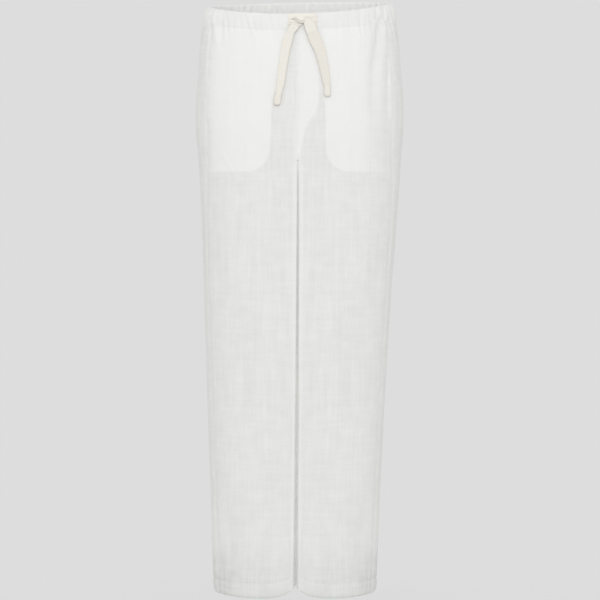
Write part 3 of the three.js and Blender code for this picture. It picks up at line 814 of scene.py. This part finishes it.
leanFrom = form["casingHeight"] / 2   # puckers and gathers lean about the casing's middle

# Gathers round the back, which rise and sink by turns
backGathers = {"seed": {"left": 12, "right": 11}, "spacing": 0.013, "unevenness": 0.35, "width": 0.0032,
               "height": 0.0012, "reach": 0.026, "first": 0.006, "last": 0.3, "lean": 0.12}


def foldHeight(surface, face, side):
    height = np.zeros_like(surface["out"])
    for fold in folds[face, side]:
        runOut, runDown = fold["endOut"] - fold["startOut"], fold["endDown"] - fold["startDown"]
        length = math.hypot(runOut, runDown)
        offOut, offDown = surface["out"] - fold["startOut"], surface["down"] - fold["startDown"]
        along = (offOut * runOut + offDown * runDown) / length**2
        along = np.clip(along, -foldShape["overrun"], 1 + foldShape["overrun"])
        beside = (offOut * runDown - offDown * runOut) / length
        shown = smooth(along, *foldShape["rise"]) * (1 - smooth(along, *foldShape["fade"]))
        widening = (foldShape["endWidth"] - foldShape["startWidth"]) * np.clip(along, 0, 1)
        width = fold["width"] * (foldShape["startWidth"] + widening)
        height += fold["height"] * shown * bell(beside, width)
    return height


def gatherReach(down, reach):
    # Puckers are whole across the casing and fade below it
    return np.exp(-np.maximum(down - form["casingHeight"], 0) / reach)


def gatherHeight(surface, face, side):
    half, down = halves[side], surface["down"]
    height = np.zeros_like(down)
    if face == "front":
        for pucker in puckers:
            centre = pucker["across"] + pucker["lean"] * (down - leanFrom)
            ridge = bell(half * surface["out"] - centre, pucker["width"])
            height += pucker["height"] * ridge * gatherReach(down, pucker["reach"])
        return height
    random = np.random.RandomState(backGathers["seed"][side])
    place, sign = backGathers["first"], 1
    while place < backGathers["last"]:
        uneven = 1 + backGathers["unevenness"] * random.uniform(-1, 1, 4)
        centre = place + random.uniform(-backGathers["lean"], backGathers["lean"]) * (down - leanFrom)
        ridge = bell(surface["fromSeam"] - centre, backGathers["width"] * uneven[0])
        ridge *= gatherReach(down, backGathers["reach"] * uneven[2])
        height += sign * backGathers["height"] * uneven[1] * ridge
        place += 0.5 * backGathers["spacing"] * uneven[3]
        sign = -sign
    return height


# Folds ease off at the side seams, where front and back meet level, and on the legs' inner faces
ease = {"side": 0.007, "above": 0.026, "below": 0.01, "innerOut": (0.002, 0.014)}


def sideEase(surface):
    return smooth(surface["fromSide"], 0, ease["side"])


def legEase(surface):
    crotch = form["crotchDown"]
    below = smooth(surface["down"], crotch - ease["above"], crotch - ease["below"])
    return 1 - below * (1 - smooth(surface["out"], *ease["innerOut"]))


# Very slow rise and fall of the hanging cloth, different on each leg
drape = {"height": 0.0005, "across": 0.021, "slant": 2.3, "down": 0.17, "from": 0.3, "full": 0.45,
         "phase": {"left": 0.7, "right": 2.1}}


def drapeHeight(surface, side):
    down, phase = surface["down"], drape["phase"][side]
    slow = np.sin(surface["across"] / drape["across"] + drape["slant"] * down + phase)
    slow *= np.sin(down / drape["down"] + phase)
    return drape["height"] * smooth(down, drape["from"], drape["full"]) * slow


hem = {"groove": 0.0012, "grooveWidth": 0.0032, "pucker": 0.0003, "puckerPitch": 0.0062,
       "puckerReach": 0.01, "fullness": 0.0003, "fullBelow": 0.006, "turnIn": 0.0024,
       "turnReach": (-0.006, 0.020), "edge": 0.0022, "edgeWidth": 0.004}


def hemHeight(surface):
    # The turned-up hem is a little fuller than the leg, grooved at its stitching and turned in at its edge
    fromStitch = surface["down"] - (form["hemDown"] - form["hemDepth"])
    ripple = np.sin(surface["across"] * 2 * math.pi / hem["puckerPitch"])
    ripple *= bell(fromStitch, hem["puckerReach"])
    toEdge = form["hemDown"] - surface["down"]
    turned = hem["turnIn"] * (1 - smooth(toEdge, *hem["turnReach"])) ** 2
    turned = turned + hem["edge"] * np.clip(1 - toEdge / hem["edgeWidth"], 0, 1) ** 2
    full = hem["fullness"] * smooth(fromStitch, 0, hem["fullBelow"])
    return full - hem["groove"] * bell(fromStitch, hem["grooveWidth"]) + hem["pucker"] * ripple - turned


# Pocket mouths in the side seams, each closing over a stretch at its top and bottom
pocketMouth = {"top": (0.058, 0.074), "bottom": (0.193, 0.209), "lift": 0.0008, "backShare": 0.4,
               "reach": 0.009, "seamDip": 0.001, "seamWidth": 0.0045}


def seamHeight(surface, face):
    # Cloth dips a little into the side seam, and the front edge of each pocket mouth stands off
    down, fromSide = surface["down"], surface["fromSide"]
    dip = -pocketMouth["seamDip"] * bell(fromSide, pocketMouth["seamWidth"])
    inMouth = smooth(down, *pocketMouth["top"]) * (1 - smooth(down, *pocketMouth["bottom"]))
    lift = pocketMouth["lift"] * bell(fromSide, pocketMouth["reach"]) * inMouth
    return dip * (1 - inMouth) + lift if face == "front" else dip - pocketMouth["backShare"] * lift


# Where the cloth is doubled it looks whiter: pocket bags, mock fly facing and seam allowances. The edges
# are rows of how far down and how far out.
pocketBag = {
    "top": 0.03,
    "bottom": 0.285,
    "cornerRadius": 0.04,
    "sideFade": (-0.004, 0.022),
    "innerEdge": ((30, 14), (110, 32), (172, 45), (245, 47)),
}
facing = {
    "top": 0.03,
    "bottom": 0.206,
    "edge": ((28, 33), (163, 33), (178, 30.5), (187, 28), (196, 20), (211, 12.5), (225, 9.5),
             (248, 4.5), (262, 0)),
}
allowance = {"rise": 0.0045, "inseam": 0.0085, "side": 0.01, "whiteness": 0.55, "sideWhiteness": 0.15,
             "soft": 0.0016}
# Over the left hip the bag, hanging clear of the front, whitens the cloth less. Towards the hem, and most
# at the legs' outer corners, the mask is lowered by painted shade, so the lower legs look darker.
shade = {"hipOut": (0.098, 0.138), "hip": 0.75, "hemDown": (0.905, 0.975), "hem": 0.55,
         "cornerOut": (0.085, 0.125), "corner": 0.9}


def readEdge(edge, down):
    levels, outs = (np.array(edge) * mm).T
    return np.interp(down, levels, outs)


def pocketInnerOut(down):
    radius = pocketBag["cornerRadius"]
    below = np.clip(down - (pocketBag["bottom"] - radius), 0, radius)
    return readEdge(pocketBag["innerEdge"], down) + radius - np.sqrt(radius**2 - below**2)


# The mask is the doubled cloth's whiteness, less painted shade towards the hem
def doubledClothAndPaintedShade(surface, face, side):
    out, down, soft = surface["out"], surface["down"], allowance["soft"]

    def past(value, edge):
        return smooth(value, edge - soft, edge + soft)

    middleWidth = np.where(down > form["crotchDown"], allowance["inseam"], allowance["rise"])
    doubledAndPaintedShading = allowance["whiteness"] * (1 - past(out, middleWidth))
    # Painted shade: darker towards the hem, most at the legs' outer corners
    hemShade = shade["hem"] + shade["corner"] * smooth(out, *shade["cornerOut"])
    hemShade = hemShade * smooth(down, *shade["hemDown"])
    if face == "back":
        sideStrip = 1 - past(surface["fromSide"], allowance["side"])
        return np.maximum(doubledAndPaintedShading, allowance["sideWhiteness"] * sideStrip) - hemShade
    bag = past(out, pocketInnerOut(down)) * (1 - past(down, pocketBag["bottom"]))
    bag *= smooth(surface["fromSide"], *pocketBag["sideFade"])
    if side == "left":
        bag *= 1 - shade["hip"] * smooth(out, *shade["hipOut"])
        doubledAndPaintedShading = np.maximum(doubledAndPaintedShading, 1 - past(out, readEdge(facing["edge"], down)))
    return np.maximum(doubledAndPaintedShading, bag) - hemShade


# Waist casing, gathered by the elastic inside it. It is thinner at its edges than in its middle.
# The casing's inner face is painted light: its mask of 2 makes it whiter than the cloth where the inside of
# the waist lies in shade.
casing = {"wall": 0.0028, "edgeShare": 0.35, "puff": 0.0006, "puffPower": 0.6, "edge": 0.0004,
          "rows": 24, "frontCounts": (2, 6, 142), "backCounts": (2, 6, 182), "foldShare": 0.5,
          "seamFrom": 0.012, "puffShare": {"front": 0.75, "back": 0.8}, "doubledAndPaintedShading": 0.55,
          "insidePaintedLight": 2.0}


def makeCasing(face):
    levels = np.linspace(0, form["casingHeight"], casing["rows"])
    grids = {}
    for side, half in halves.items():
        whole, size, count = halfSurface(half, levels, casing["frontCounts"], casing["backCounts"])
        surface = faceOf(whole, size, count, face)
        down = surface["down"]
        bulge = np.sin(math.pi * down / form["casingHeight"])
        atSeam = smooth(down, casing["seamFrom"], form["casingHeight"])   # 1 where it joins the leg
        foldShare = casing["foldShare"] + (1 - casing["foldShare"]) * atSeam
        puffShare = casing["puffShare"][face]
        gatherShare = 1 - puffShare + puffShare * np.maximum(bulge, atSeam)
        height = foldHeight(surface, face, side) * foldShare
        height += gatherHeight(surface, face, side) * gatherShare
        height = height * sideEase(surface) + casing["puff"] * bulge ** casing["puffPower"] - casing["edge"]
        depth = casing["wall"] * (casing["edgeShare"] + (1 - casing["edgeShare"]) * np.sqrt(bulge))
        outer, inner = moved(surface, half, height), moved(surface, half, height - depth)
        # The right half's columns run the other way, so that the halves join in one grid
        grids[side] = [grid[:, ::half] for grid in (outer, inner, half * surface["across"], down)]
    first, second = ("right", "left") if face == "front" else ("left", "right")
    joined = [np.concatenate([one, two[:, 1:]], axis=1) for one, two in zip(grids[first], grids[second])]
    outer, inner, across, down = joined
    # Painted light on the inner face
    wall = {"outer": outer, "inner": inner, "masks": (casing["doubledAndPaintedShading"], casing["insidePaintedLight"]),
            "grain": np.stack([across, down], axis=2)}
    piece = wallPiece("casing_" + face, [wall], "doubledAndPaintedShading", casingCloth)
    fasten(piece, "waistband_" + face)


for face in ("front", "back"):
    makeCasing(face)
print("casing made")

# Leg panels. They are tucked in a little where they go under the casing.
panel = {"wall": 0.0012, "hemWall": 0.0024, "frontCounts": (10, 16, 112), "backCounts": (10, 14, 132),
         "rest": 0.0004, "tuck": 0.0004, "tuckDown": (0.0270, 0.0292), "backGrain": 0.5}
# The grid's rows: the level in metres where each stretch of them starts, and how many it has
panelRows = ((0.0272, 29), (0.070, 53), (0.245, 8), (0.260, 16), (0.276, 10), (0.300, 132), (0.960, 23))


def panelLevels():
    ends = [top for top, rows in panelRows[1:]] + [form["hemDown"]]
    levels = [np.linspace(top, end, rows, endpoint=False) for (top, rows), end in zip(panelRows, ends)]
    return np.concatenate(levels + [[form["hemDown"]]])


def clothHeight(surface, face, side):
    return sideEase(surface) * (foldHeight(surface, face, side) + gatherHeight(surface, face, side))


def makePanels(side):
    half, levels = halves[side], panelLevels()
    whole, size, count = halfSurface(half, levels, panel["frontCounts"], panel["backCounts"])
    for face in ("front", "back"):
        surface = faceOf(whole, size, count, face)
        down = surface["down"]
        height = clothHeight(surface, face, side) + drapeHeight(surface, side)
        height += hemHeight(surface) + seamHeight(surface, face) - panel["rest"]
        height *= legEase(surface)
        height -= panel["tuck"] * (1 - smooth(down, *panel["tuckDown"]))
        depth = np.where(down >= form["hemDown"] - form["hemDepth"], panel["hemWall"], panel["wall"])
        shift = 0 if face == "front" else panel["backGrain"]
        # Its mask holds both the doubled cloth's whiteness and painted shade low on the legs
        doubledAndPaintedShading = doubledClothAndPaintedShade(surface, face, side)
        wall = {"outer": moved(surface, half, height), "inner": moved(surface, half, height - depth),
                "masks": (doubledAndPaintedShading, doubledAndPaintedShading), "grain": np.stack([surface["across"] + shift, down], axis=2)}
        piece = wallPiece(f"{face}_leg_{side}", [wall], "doubledAndPaintedShading", hempCloth)
        fasten(piece, f"{face}_{side}")


for side in halves:
    makePanels(side)
print("leg panels made")

# Layers sewn behind the fronts. Depth is how far behind the front's inner face a layer lies.
backing = {"sideMargin": 0.004, "columns": 40, "frontCounts": (1, 4, 255), "backCounts": (1, 1, 2)}
pocketLayer = {"wall": 0.0016, "depth": {"left": 0.0032, "right": 0.0012}, "rows": 60, "cornerRows": 26,
               "cornerTop": 0.245, "cornerFrom": 0.248}
facingLayer = {"wall": 0.001, "depth": 0.0012, "rows": 50, "innerOut": 0.0008}


def makeBacking(name, node, side, levels, innerOut, layer, depth, outerOut=None):
    half = halves[side]
    whole, size, count = halfSurface(half, levels, backing["frontCounts"], backing["backCounts"])
    surface = faceOf(whole, size, count, "front")
    height = clothHeight(surface, "front", side) + seamHeight(surface, "front")
    height -= panel["rest"] + panel["wall"] + depth
    outer, inner = moved(surface, half, height), moved(surface, half, height - layer["wall"])
    rows = [[], [], []]
    for row, outs in enumerate(surface["out"]):
        last = outs[-1] - backing["sideMargin"] if outerOut is None else outerOut[row]
        chosen = np.linspace(innerOut[row], last, backing["columns"])
        for store, grid in zip(rows, (outer[row], inner[row], surface["across"][row][:, None])):
            store.append(np.stack([np.interp(chosen, outs, values) for values in grid.T], axis=1))
    outer, inner, across = (np.array(grid) for grid in rows)
    grain = np.concatenate([across, np.broadcast_to(levels[:, None, None], across.shape)], axis=2)
    wall = {"outer": outer, "inner": inner, "masks": (1, 1), "grain": grain}
    piece = wallPiece(name, [wall], "doubledAndPaintedShading", pocketing)
    fasten(piece, node)


pocketLevels = np.concatenate([
    np.linspace(pocketBag["top"], pocketLayer["cornerTop"], pocketLayer["rows"]),
    np.linspace(pocketLayer["cornerFrom"], pocketBag["bottom"], pocketLayer["cornerRows"]),
])
for side in halves:
    makeBacking("pocket_bag_inside_" + side, "pocket_bag_" + side, side, pocketLevels,
                pocketInnerOut(pocketLevels), pocketLayer, pocketLayer["depth"][side])
facingLevels = np.linspace(facing["top"], facing["bottom"], facingLayer["rows"])
facingInner = np.full(facingLayer["rows"], facingLayer["innerOut"])
makeBacking("fly_facing_inside", "fly_facing", "left", facingLevels, facingInner, facingLayer,
            facingLayer["depth"], readEdge(facing["edge"], facingLevels))
print("backing layers made")


# Studio: even pale surroundings, a large soft lamp in front and one above, weak ones at the sides and
# behind, and a pale floor well below that fades out. The glow inside stands for the light that comes
# through the thin cloth.
studio = {"surround": 0.723, "floorDown": 1.26, "floorTone": 0.85, "floorRoughness": 0.9,
          "floorSpecular": 0.1, "floorRadius": 6.0, "floorSides": 96, "fadeFrom": 0.7, "fadeTo": 1.9}
lampColumns = ("name", "power", "size", "place", "aim")
lampRows = (
    ("front_lamp", 44.5, 2.0, (0, -4.7, 1.6), (0, 0, -0.10)),
    ("top_lamp", 7, 1.0, (0, -2.2, 2.0), (0, 0, -0.10)),
    ("left_lamp", 3.2, 1.6, (3.2, -1.2, 0.3), (0, 0, -0.45)),
    ("right_lamp", 3.2, 1.6, (-3.2, -1.2, 0.3), (0, 0, -0.45)),
    ("back_lamp", 16, 1.4, (-1.6, 4.3, 2.0), (0, 0, -0.30)),
    ("inside_glow", 0.05, 0.12, (0, 0, -0.24), (0, 0.01, 0)),
)


def makeLamp(lamp):
    data = bpy.data.lights.new(lamp["name"], "AREA")
    data.shape = "SQUARE"
    data.size = lamp["size"]
    data.energy = lamp["power"]
    light = bpy.data.objects.new(lamp["name"], data)
    bpy.context.scene.collection.objects.link(light)
    light.location = lamp["place"]
    light.rotation_euler = (Vector(lamp["aim"]) - light.location).to_track_quat("-Z", "Y").to_euler()
    light.visible_camera = False


def makeFloor():
    bpy.ops.mesh.primitive_circle_add(vertices=studio["floorSides"], radius=studio["floorRadius"],
                                      fill_type="NGON", location=(0, 0, -studio["floorDown"]))
    floor = bpy.context.object
    floor.name = "floor"
    material = bpy.data.materials.new("floor")
    material.use_nodes = True
    tree = material.node_tree
    place = addNode(tree, "TexCoord", {}).outputs["Object"]
    fade = addNode(tree, "MapRange", {
        "Value": addNode(tree, "VectorMath", {0: place}, operation="LENGTH").outputs["Value"],
        "From Min": studio["fadeFrom"],
        "From Max": studio["fadeTo"],
        "To Min": 1,
        "To Max": 0,
    }, interpolation_type="SMOOTHSTEP")
    fill(tree, tree.nodes["Principled BSDF"], {
        "Base Color": (studio["floorTone"],) * 3 + (1,),
        "Roughness": studio["floorRoughness"],
        "Specular IOR Level": studio["floorSpecular"],
        "Alpha": fade.outputs[0],
    })
    floor.data.materials.append(material)


def makeStudio():
    world = bpy.data.worlds.new("studio")
    bpy.context.scene.world = world
    world.use_nodes = True
    surround = {"Color": (studio["surround"],) * 3 + (1,), "Strength": 1}
    fill(world.node_tree, world.node_tree.nodes["Background"], surround)
    for row in lampRows:
        makeLamp(dict(zip(lampColumns, row)))
    makeFloor()
    bpy.context.scene.view_settings.view_transform = "Standard"


makeStudio()
print("studio made")

bpy.context.view_layer.update()
